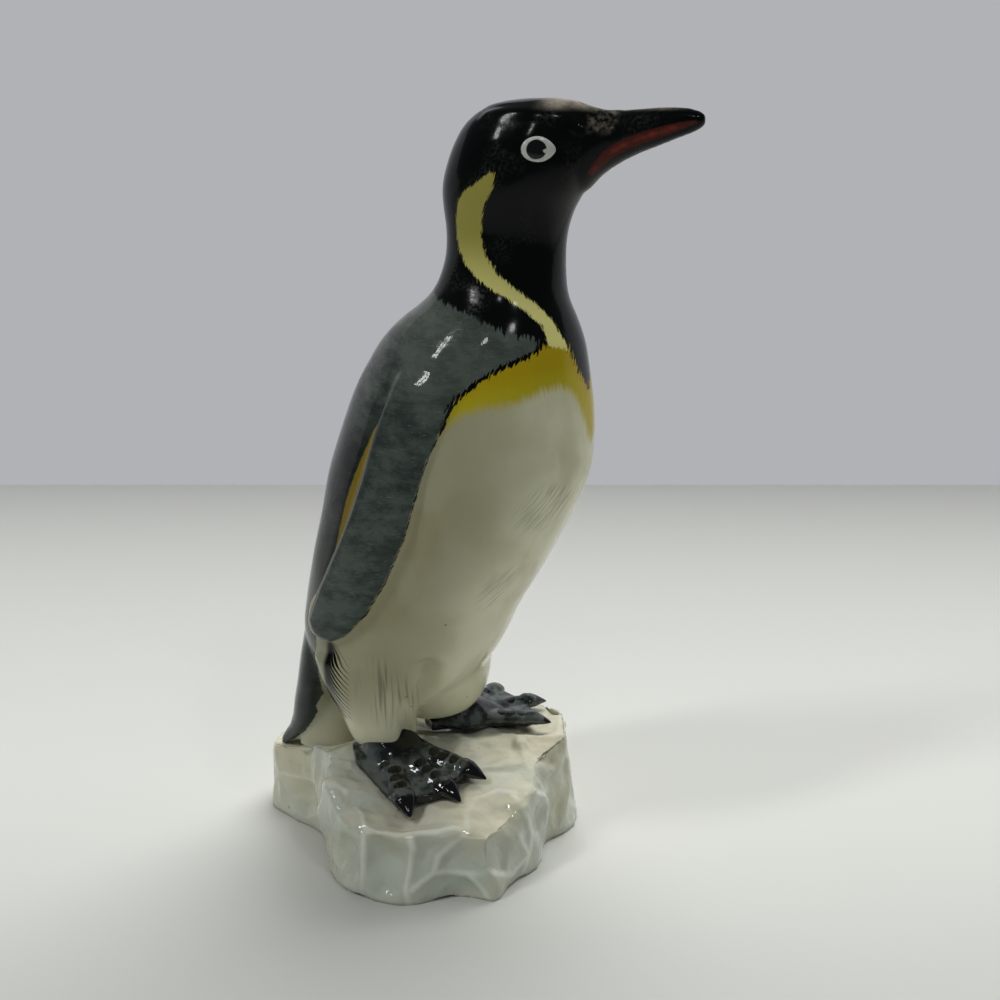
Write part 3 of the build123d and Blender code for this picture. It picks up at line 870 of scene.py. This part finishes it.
def makeEye(side):
    name = sideName(side, "eye")
    low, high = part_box(name)
    centre = (low + high) / 2 / mm
    point, out = flankPoint(centre.z, centre.y)
    point.x, out.x = point.x * side, out.x * side
    along = Vector((0, 0, 1)).cross(out).normalized() * -side  # towards the bill
    turn = Matrix((along, out.cross(along), out)).transposed()
    bm = bmesh.new()
    rings = []
    for rise, share in eyeShape["rings"]:
        up = rise * (eyeShape["stand"] if rise > 0 else eyeShape["sink"])
        half = (eyeShape["half"][0] * share, eyeShape["half"][1] * share)
        rings.append(((0, 0, up), half, upright))
    addLoft(bm, rings)
    for vert in bm.verts:
        pull = max(0, vert.co.x / eyeShape["half"][0])
        vert.co.y *= 1 - eyeShape["pinch"] * pull**2
        vert.co.x += eyeShape["corner"] * pull**3
    eye = makeObject(name + "Glaze", bm)
    x, y, _ = readVerts(eye).T
    long, high = eyeShape["pupil"]
    pupil = 1 - np.hypot((x + eyeShape["pupilBack"]) / long, y / high)
    notchX, notchY, notchLong, notchHigh = eyeShape["notch"]
    notch = (1 - np.hypot((x - notchX) / notchLong, (y * side - notchY) / notchHigh)) * notchHigh
    keepField(eye, "notch", notch)
    keepField(eye, "pupil", pupil * high)
    eye.data.transform(Matrix.Translation(point) @ turn.to_4x4())
    if turn.determinant() < 0:
        eye.data.flip_normals()
    finer = eye.modifiers.new("Subdivision", "SUBSURF")
    finer.levels = finer.render_levels = 3
    eye.data.shade_smooth()
    eye.data.materials.append(eyeMaterial)
    finishPiece(eye, name + "Glaze", "eye_glaze", name)


eyeGlaze = {"white": (214, 216, 208), "shade": (180, 184, 178), "pupil": (7, 8, 9)}


def makeEyeGlaze():
    material = newMaterial("eyeGlaze")
    fine = noiseOf(objectSpot(), 900)
    white = mixed(fine, eyeGlaze["white"], eyeGlaze["shade"])
    pupil = brushed(field("pupil"), fine, 0.2, 0.1)
    # painted highlight: the pupil is left white where the glint falls
    notch = brushed(field("notch"), fine, 0.5, 0.15)
    base = tinted(white, eyeGlaze["pupil"], pupil, less(1.0, notch))
    glaze(base, 0.1, bumped(0.1, 0.0003, fine))
    return material


# The feet: three toes with claws, the web between them and the instep, in a frame whose
# origin is under the ankle, with Y along the middle toe

footShape = {
    "ankles": {-1: (-9.5, 5.0, 28.0), 1: (9.5, -8.0, 28.0)},
    "toeOut": {-1: 30, 1: 46},
    "slope": {-1: (16.3, 64), 1: (0, 50)},
    "toes": {-1: ((-21.6, 32.6), (-2, 32.8), (23, 31.8)), 1: ((-30, 29.4), (0.7, 31.2), (32, 28.6))},
    "toe": [  # place, half width, height of its middle
        (2, 3.2, 1.7), (8, 3.0, 1.6), (13, 2.9, 1.4), (16, 3.2, 1.5), (19, 2.8, 1.3), (22, 3.1, 1.4),
        (25, 2.8, 1.2), (27.6, 1.8, 1.0),
    ],
    "claw": [
        (23.8, 2.0, 1.6), (26.0, 2.9, 1.8), (28.2, 2.9, 1.5), (30.2, 2.0, 1.1), (32.0, 1.0, 0.6),
        (33.2, 0.3, 0.3),
    ],
    "flat": 0.66,
    "clawEnd": 33.2,
    "web": {
        -1: [
            (7.5, -2), (10.4, 4), (11.4, 14), (12.6, 24.6), (7.4, 25.8), (2, 28), (-4.6, 26.6), (-8, 26),
            (-12.6, 25.4), (-11.4, 19), (-9.2, 13), (-8.4, 8), (-8.4, 2), (-5, -4),
        ],
        1: [
            (5.2, 2), (8.2, 10), (12.8, 18), (12.6, 22), (7.4, 22), (1, 25), (-6, 23), (-12, 22),
            (-11.5, 17), (-7.5, 9), (-5.5, 2), (-3.2, -6), (3, -6.5),
        ],
    },
    "webThickness": 2.6,
    "sink": 0.7,
    "instep": [  # height, place, half depth, half width
        (0.0, 6.4, 11.8, 8.8), (2.2, 5.8, 10.6, 8.0), (4.2, 3.8, 8.4, 7.2), (6.4, 1.6, 6.6, 6.6),
        (9, 0.4, 5.6, 5.8),
    ],
    "dots": [(17.2, 1.3), (20.2, 1.4), (23.3, 1.2)],  # place along the toe and radius
    "dotWidth": 1.5,
    "black": ((-0.5, 4.5), (6.4, 9.5)),  # the dark patch on the instep: middle and half sizes
    "waves": (4.5, 0.22),
}


def makeFoot(side):
    name = sideName(side, "foot")
    bm = bmesh.new()
    for angle, reach in footShape["toes"][side]:
        turn = Matrix.Rotation(math.radians(-angle), 3, "Z")
        stretch = reach / footShape["clawEnd"]
        for rows in (footShape["toe"], footShape["claw"]):
            rings = []
            for y, half, z in rows:
                centre = turn @ Vector((0, y * stretch, z))
                rings.append((centre, (half, half * footShape["flat"]), turn @ lying))
            addLoft(bm, rings, 24)
    corners = [bm.verts.new((x, y, -footShape["sink"])) for x, y in footShape["web"][side]]
    face = bmesh.ops.contextual_create(bm, geom=corners)["faces"]
    made = bmesh.ops.extrude_face_region(bm, geom=face)["geom"]
    top = [item for item in made if isinstance(item, bmesh.types.BMVert)]
    bmesh.ops.translate(bm, vec=(0, 0, footShape["webThickness"]), verts=top)
    addLoft(bm, [((0, y, z), (wide, deep), upright) for z, y, deep, wide in footShape["instep"]], 32)
    foot = makeObject(name, bm)
    fuse(foot, voxel("footVoxel"), 3)
    ripple(foot, *footShape["waves"])
    x, y, z = readVerts(foot).T
    dots = np.full(len(x), 9.0)
    for angle, reach in footShape["toes"][side]:
        aim = math.radians(angle)
        along, across = x * math.sin(aim) + y * math.cos(aim), x * math.cos(aim) - y * math.sin(aim)
        for place, size in footShape["dots"]:
            beyond = along - place * reach / footShape["clawEnd"]
            dots = np.minimum(dots, np.hypot(across / footShape["dotWidth"], beyond) - size)
    keepField(foot, "dots", dots)
    keepField(foot, "reach", np.hypot(x, y))
    keepField(foot, "rise", z)
    (middleX, middleY), (halfX, halfY) = footShape["black"]
    keepField(foot, "instep", 1 - np.hypot((x - middleX) / halfX, (y - middleY) / halfY))
    tilt, towards = (math.radians(angle) for angle in footShape["slope"][side])
    facing = math.radians(footShape["toeOut"][side])
    downhill = Vector((side * math.sin(towards), -math.cos(towards), 0))
    lean = Matrix.Rotation(tilt, 3, Vector((0, 0, 1)).cross(downhill))
    forward = Vector((side * math.sin(facing), -math.cos(facing), 0))
    turn = lean @ Matrix((forward.cross(Vector((0, 0, 1))), forward, Vector((0, 0, 1)))).transposed()
    foot.data.transform(Matrix.Translation(Vector(footShape["ankles"][side])) @ turn.to_4x4())
    foot.data.shade_smooth()
    foot.data.materials.append(footMaterial)
    finishPiece(foot, name + "Glaze", "foot_glaze", name)


footGlaze = {"dark": (24, 30, 29), "slate": (86, 94, 91), "black": (8, 9, 11), "clawStart": 26.6}


def makeFootGlaze():
    material = newMaterial("footGlaze")
    spot = objectSpot()
    patches, fine = noiseOf(spot, 230, 4), noiseOf(spot, 800)
    slate = mixed(stepUp(patches, 0.36, 0.60), footGlaze["dark"], footGlaze["slate"])
    instep = brushed(field("instep"), patches, 0.9, 0.2)
    claws = brushed(less(field("reach"), footGlaze["clawStart"]), fine, 2.0, 0.5)
    dots = brushed(product(field("dots"), -1.0), fine, 0.6, 0.2)
    sole = brushed(less(0.9, field("rise")), fine, 1.2, 0.4)
    base = mixed(larger(larger(instep, claws), larger(dots, sole)), slate, footGlaze["black"])
    glaze(base, 0.06, bumped(0.25, 0.0006, noiseOf(spot, 420)))
    return material


# The block of ice: an outline with the share of its size that each corner keeps at the
# shoulder and at the top, then planes cut off, dents, and faces scooped out between ridges

rockShape = {
    "outline": [
        (1.7, 44.2, 1.00, 0.96), (-6, 35.5, 1.00, 0.95), (-12.9, 22.4, 1.01, 0.95),
        (-25, 14.2, 1.04, 0.97), (-35.7, 7.5, 1.00, 0.97), (-41.7, -0.9, 0.99, 0.97),
        (-42.9, -14.2, 0.97, 0.95), (-36, -24.8, 0.99, 0.95), (-33, -35.5, 0.98, 0.93),
        (-25.8, -36.8, 1.00, 0.95), (-13.3, -41.2, 0.99, 0.94), (-0.4, -38.6, 1.02, 0.96),
        (13.3, -44.2, 0.98, 0.95), (30, -37.3, 0.98, 0.96), (41.7, -22.2, 0.98, 0.95),
        (42.9, -4.4, 0.97, 0.94), (37.4, 10.6, 1.01, 0.93), (40.4, 24.8, 0.97, 0.95),
        (32.7, 35.5, 0.98, 0.96), (18, 42.6, 0.99, 0.94),
    ],
    "shoulder": 15,
    "height": 28,
    "planes": [  # a place on the top, the way downhill in degrees from +X, and the slope
        ((-9.5, 5), 205.8, 16.3), ((0, 14), 90, 16), ((20, -40), -68, 48), ((38, -24), -32, 40),
        ((39, 2), 8, 34), ((33, 28), 42, 40), ((12, 35), 82, 42), ((-16, 19), 150, 30),
        ((-3, 33), 140, 44), ((3, -38), -110, 30),
    ],
    "dents": [  # middle, reach and depth; a negative depth stands out
        ((-25, 15.5, 12), 9, -2.0), ((-5, -40, 13), 9, -2.2), ((-37, 4, 24), 8, 1.8),
        ((-33, -14, 20), 9, 0.9), ((20, 8, 27), 10, 1.4), ((2, -22, 27), 9, 1.2),
        ((-24.5, -37, 20), 9, 1.7),
    ],
    "ridges": [
        [(-30, 9, 25), (-28, 12.5, 22), (-26.5, 17, 14), (-25.5, 15.5, 6), (-27, 13, 0)],
        [(-41, -3.7, 19), (-41.5, -4.1, 13), (-41, -3.2, 0)],
        [(-40.6, -16.2, 17), (-40.3, -16.5, 14.7), (-40.7, -16, 9.4), (-41.4, -15, 4.5), (-41, -15.5, 0)],
        [(-33, -28.5, 19.5), (-36.8, -22, 12), (-37.5, -20.9, 8)],
        [(-40.7, -16, 3.7), (-37.5, -20.9, 7.8), (-34, -28.8, 7.2), (-32.8, -33.1, 2.5), (-32.5, -34.5, 0)],
        [(-20.8, -37.7, 12.6), (-17, -39, 5.5), (-24.3, -36.4, 3.4), (-31, -34, 6.8), (-34, -28.8, 7.2)],
        [(-17, -39, 5.5), (-20.5, -37.8, 0)],
        [(-14, -38, 22), (-8, -41.5, 20), (-4, -42.5, 14), (-4.5, -42.3, 8), (-7, -41, 4), (-12, -41, 0)],
        [(-16, -35, 21.5), (-17.5, -38, 18), (-15.2, -39.6, 11), (-17, -39, 5.5)],
        [
            (-33, -28.5, 19.5), (-26.6, -25.7, 19.6), (-19.8, -26.4, 21.3), (-15, -30.6, 22),
            (-14.8, -35.2, 21.5),
        ],
        [(-41, -3.7, 19), (-36.8, -2.1, 20), (-30.2, 5.7, 22.6), (-29.5, 9.8, 23.3)],
        [
            (-41, -4, 19), (-40.5, -12, 17.6), (-39, -16, 17.5), (-36.5, -20.5, 17.5), (-33, -25, 18),
            (-33, -28.5, 19.5),
        ],
    ],
    "balls": [  # middle and radius of each bowl taken out of the front
        ((-33, 3, 25.3), 4.6), ((-43, -31, 0.9), 10), ((-62.8, -9.8, 11), 22), ((-49.6, -24.2, 13), 12),
        ((-36.6, -55.4, 13), 22), ((-10.3, -54, 13), 14), ((-22.6, -36.4, 20.6), 2.4), ((-50, 7, 9), 13),
        ((-30, 30, 14), 14), ((-20, 41, 10), 15),
    ],
    "rim": [
        (-29.5, 9.8, 23.3), (-34.5, 3, 21.2), (-38, -3, 19.4), (-40.4, -6.3, 18.4), (-40.6, -12.2, 17.6),
        (-39, -16.1, 17.5), (-36.7, -20.7, 17.6), (-32.8, -25, 18),
    ],
    "rimLift": (-0.7, 3.6),  # depth and reach
    "scoop": (1.2, 7.5),
    "scoopFades": 9,  # below this height
    "facetSize": (13, 13, 17),
    "facetDepth": 1.3,
    "facetRidge": 0.55,
    "facetGap": (5, 7),  # how far from a ridge the facets start, and over what they deepen
    "facetFades": 6,
    "edgePasses": 14,
    "edge": (0.6, 0.35),  # how far up a point faces where the top turns over, and the spread of that
    "waves": [(15, 1.1), (5, 0.45)],  # size and height
    "edgeWaves": [(5, 1.3), (2.4, 0.5)],
    "top": (0.6, 0.3),  # how far up a point of the top faces, from and over
    "topGrain": ((3, 8, 3), 0.35),
    "grainTurn": 18,
    "flatBelow": 0.6,
    "clearance": 0.02,
}


def edgeShare(rock):  # 1 along the edge of the top
    facing, spread = rockShape["edge"]
    return np.clip(1 - np.abs(readVerts(rock, "normal")[:, 2] - facing) / spread, 0, 1)


def makeRock():
    bm = bmesh.new()
    loops = []
    for level, column in ((0, None), (rockShape["shoulder"], 2), (rockShape["height"], 3)):
        corners = []
        for corner in rockShape["outline"]:
            keep = 1 if column is None else corner[column]
            corners.append((corner[0] * keep, corner[1] * keep, level))
        verts = [bm.verts.new(spot) for spot in smoothLine(corners, 3, closed=True)]
        loops.append([bm.edges.new(pair) for pair in zip(verts, verts[1:] + verts[:1])])
    bridge(bm, loops)
    for edges in (loops[0], loops[-1]):
        bmesh.ops.contextual_create(bm, geom=edges)
    for (x, y), towards, slope in rockShape["planes"]:
        towards, slope = math.radians(towards), math.radians(slope)
        downhill = Vector((math.cos(towards), math.sin(towards), 0)) * math.sin(slope)
        chisel(bm, Vector((x, y, rockShape["height"])), downhill + Vector((0, 0, math.cos(slope))))
    rock = makeObject("rock", bm)
    fuse(rock, voxel("rockVoxel"), 12)
    press(rock, rockShape["dents"])
    carve(rock, [smoothLine(rockShape["rim"])], *rockShape["rimLift"])
    hollow(rock, rockShape["balls"])
    low = np.clip(readVerts(rock)[:, 2] / rockShape["scoopFades"], 0, 1)
    ridgeGap = scoop(rock, rockShape["ridges"], *rockShape["scoop"], low)
    start, run = rockShape["facetGap"]
    spread = np.clip((ridgeGap - start) / run, 0, 1)
    spread *= np.clip(readVerts(rock)[:, 2] / rockShape["facetFades"], 0.2, 1)
    relax(rock, 2)
    facetGap = facet(rock, rockShape["facetSize"], rockShape["facetDepth"], spread)
    relax(rock, 4)
    relax(rock, rockShape["edgePasses"], edgeShare(rock) > 0.2)
    for waves in rockShape["waves"]:
        ripple(rock, *waves)
    edge = edgeShare(rock)
    for waves in rockShape["edgeWaves"]:
        ripple(rock, *waves, edge)
    start, run = rockShape["top"]
    top = np.clip((readVerts(rock, "normal")[:, 2] - start) / run, 0, 1)
    ripple(rock, *rockShape["topGrain"], top, rockShape["grainTurn"])
    points, clearance = readVerts(rock), rockShape["clearance"]
    points[:, 2] = np.where(points[:, 2] < rockShape["flatBelow"], clearance, points[:, 2])
    low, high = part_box("rock_base")
    writeVerts(rock, np.clip(points, np.array(low) / mm + clearance, np.array(high) / mm - clearance))
    keepField(rock, "ridge", np.where(spread > 0.3, np.minimum(ridgeGap, facetGap + 0.7), ridgeGap))
    keepField(rock, "top", top)
    rock.data.shade_smooth()
    rock.data.materials.append(rockMaterial)
    finishPiece(rock, "iceBlockGlaze", "ice_glaze", "rock_base")


def chisel(bm, place, normal):
    cut = bmesh.ops.bisect_plane(
        bm, geom=bm.verts[:] + bm.edges[:] + bm.faces[:], plane_co=place, plane_no=normal, clear_outer=True
    )
    edges = [item for item in cut["geom_cut"] if isinstance(item, bmesh.types.BMEdge)]
    return bmesh.ops.holes_fill(bm, edges=edges)["faces"]


iceGlaze = {
    "cool": (194, 201, 188),
    "warm": (202, 200, 174),
    "ridge": (236, 240, 228),
    "top": (226, 220, 196),
    "speck": (120, 110, 86),
}


def makeIceGlaze():
    material = newMaterial("iceGlaze")
    spot = objectSpot()
    base = mixed(stepUp(noiseOf(spot, 38, 4), 0.35, 0.65), iceGlaze["cool"], iceGlaze["warm"])
    # lighter along the ridges: thinner glaze there, strengthened as a painted highlight
    base = tinted(base, iceGlaze["ridge"], stepDown(field("ridge"), 0.1, 1.4), 0.75)
    # lighter and creamier on faces that look up: a creamier glaze and painted light from above
    base = tinted(base, iceGlaze["top"], field("top"), stepUp(noiseOf(spot, 70), 0.3, 0.7), 0.7)
    base = tinted(base, iceGlaze["speck"], stepUp(noiseOf(spot, 420, 2), 0.74, 0.80), 0.5)
    uneven = scaled(noiseOf(spot, 560, 2), 0.35, noiseOf(spot, 230))
    glaze(base, 0.05, bumped(0.42, 0.001, uneven))
    return material


birdMaterial = makeBirdGlaze()
eyeMaterial = makeEyeGlaze()
footMaterial = makeFootGlaze()
rockMaterial = makeIceGlaze()
print("glazes mixed")

skin = makeSkin()
sculptSkin(skin)
paintSkin(skin)
skin.data.materials.append(birdMaterial)
skin.data.shade_smooth()
keepField(skin, "before", readVerts(skin, "normal"))
head = partAt(skin, *seams["neck"])
bill = partAt(head, *seams["bill"])
tail = partAt(skin, *seams["tail"])
for piece in (skin, head, bill, tail):
    keepNormals(piece)
finishPiece(
    skin, "torsoGlaze", "bird_glaze", "torso_shell", "right_flipper", "left_flipper", "right_leg", "left_leg"
)
finishPiece(head, "headGlaze", "head_glaze", "head_shell")
finishPiece(bill, "billGlaze", "bill_glaze", "bill")
finishPiece(tail, "tailGlaze", "bird_glaze", "tail")
for side in (-1, 1):
    makeEye(side)
    makeFoot(side)
makeRock()

# The room: a pale table, a grey wall, soft light from above and a camera where the photo's was

room = {
    "table": (214, 215, 209),
    "tableNearShade": (178, 182, 176),
    "tableShadeFade": (-0.18, 0.05),
    "tableHalf": 4.0,
    "tableRough": 0.5,
    "wall": colour(196, 198, 202),
    "wallSeen": colour(177, 178, 182),
    "wallRough": 0.9,
    "wallGap": 0.44,
    "wallHeight": 0.5,
    "view": (-72, 13),
    "cameraPlace": (-0.3309, -0.1336, 0.1747),
    "lens": 50,
    "sky": colour(214, 216, 222),
    "skyStrength": 0.14,
    "lampAim": (0, 0, 0.1),
}


def tablePaint(away):  # painted shade: a little darker towards the near edge
    x, y, _ = wire("SeparateXYZ", {0: objectSpot()})
    far = scaled(x, away.x, product(y, away.y))
    return mixed(stepUp(far, *room["tableShadeFade"]), room["tableNearShade"], room["table"])


def wallShader():  # the camera, glass and gloss see the wall evenly lit
    paint = wire("BsdfPrincipled", {"Base Color": room["wall"], "Roughness": room["wallRough"]})[0]
    rays = wire("LightPath", {})
    share = larger(larger(rays["Is Camera Ray"], rays["Is Glossy Ray"]), rays["Is Transmission Ray"])
    seen = wire("Emission", {"Color": room["wallSeen"], "Strength": 1.0})[0]
    return wire("MixShader", {0: share, 1: paint, 2: seen})[0]


def addBackdrop(name, place, material):
    bm = bmesh.new()
    bmesh.ops.create_grid(bm, x_segments=1, y_segments=1, size=1, matrix=place)
    backdrop = makeObject(name, bm)
    backdrop.data.materials.append(material)
    return backdrop


def makeRoom():
    turn = math.radians(room["view"][0])
    away = Vector((-math.sin(turn), math.cos(turn), 0))
    across = Vector((math.cos(turn), math.sin(turn), 0))
    half, tall = room["tableHalf"], room["wallHeight"]
    tableTop = newMaterial("tableTop")
    surface(wire("BsdfPrincipled", {"Base Color": tablePaint(away), "Roughness": room["tableRough"]})[0])
    table = addBackdrop("table", Matrix.Diagonal((half, half, 1, 1)), tableTop)
    wallPaint = newMaterial("wallPaint")
    surface(wallShader())
    stand = Matrix((across, Vector((0, 0, 1)), -away)).transposed().to_4x4()
    place = Matrix.Translation(away * room["wallGap"] + Vector((0, 0, tall / 2)))
    wall = addBackdrop("wall", place @ stand @ Matrix.Diagonal((half, tall / 2, 1, 1)), wallPaint)


def addLamp(name, place, size, power):
    lamp = bpy.data.lights.new(name, "AREA")
    lamp.shape = "RECTANGLE"
    lamp.size, lamp.size_y = size
    lamp.energy = power
    holder = bpy.data.objects.new(name, lamp)
    holder.location = place
    holder.rotation_euler = (Vector(room["lampAim"]) - Vector(place)).to_track_quat("-Z", "Y").to_euler()
    bpy.context.scene.collection.objects.link(holder)
    return holder


lamps = {  # place, size, power and whether the gloss shows the lamp
    "overhead": ((0.70, -0.10, 1.35), (1.2, 1.2), 20, False),
    "skylight": ((0.70, -0.10, 1.35), (1.0, 1.0), 7, True),
    "glintA": ((-0.62, -0.78, 1.12), (0.10, 0.10), 1.2, True),
    "glintB": ((-0.95, -0.30, 1.15), (0.07, 0.07), 0.6, True),
}
windowPanes = {
    "middle": (-0.85, 0.68, 1.29),
    "columns": 2,
    "rows": 4,
    "pane": (0.07, 0.11),
    "gap": 0.03,
    "power": 0.9,
}

makeRoom()
for name, (place, size, power, glossy) in lamps.items():
    addLamp(name, place, size, power).visible_glossy = glossy
middle = Vector(windowPanes["middle"])
facing = (-middle).to_track_quat("-Z", "Y").to_matrix()
wide, tall = (size + windowPanes["gap"] for size in windowPanes["pane"])
for column in range(windowPanes["columns"]):
    for row in range(windowPanes["rows"]):
        across = (column - (windowPanes["columns"] - 1) / 2) * wide
        up = (row - (windowPanes["rows"] - 1) / 2) * tall
        place = middle + facing @ Vector((across, up, 0))
        addLamp(f"pane{column}{row}", place, windowPanes["pane"], windowPanes["power"])

scene = bpy.context.scene
scene.world = bpy.data.worlds.new("room")
scene.world.use_nodes = True
background = scene.world.node_tree.nodes["Background"]
background.inputs[0].default_value = room["sky"]
background.inputs[1].default_value = room["skyStrength"]

camera = bpy.data.objects.new("camera", bpy.data.cameras.new("camera"))
camera.data.lens = room["lens"]
camera.location = room["cameraPlace"]
azimuth, elevation = room["view"]
camera.rotation_euler = (math.radians(90 - elevation), 0, math.radians(azimuth))
scene.collection.objects.link(camera)
scene.camera = camera
scene.view_settings.view_transform = "Standard"
print("room, lamps and camera placed")
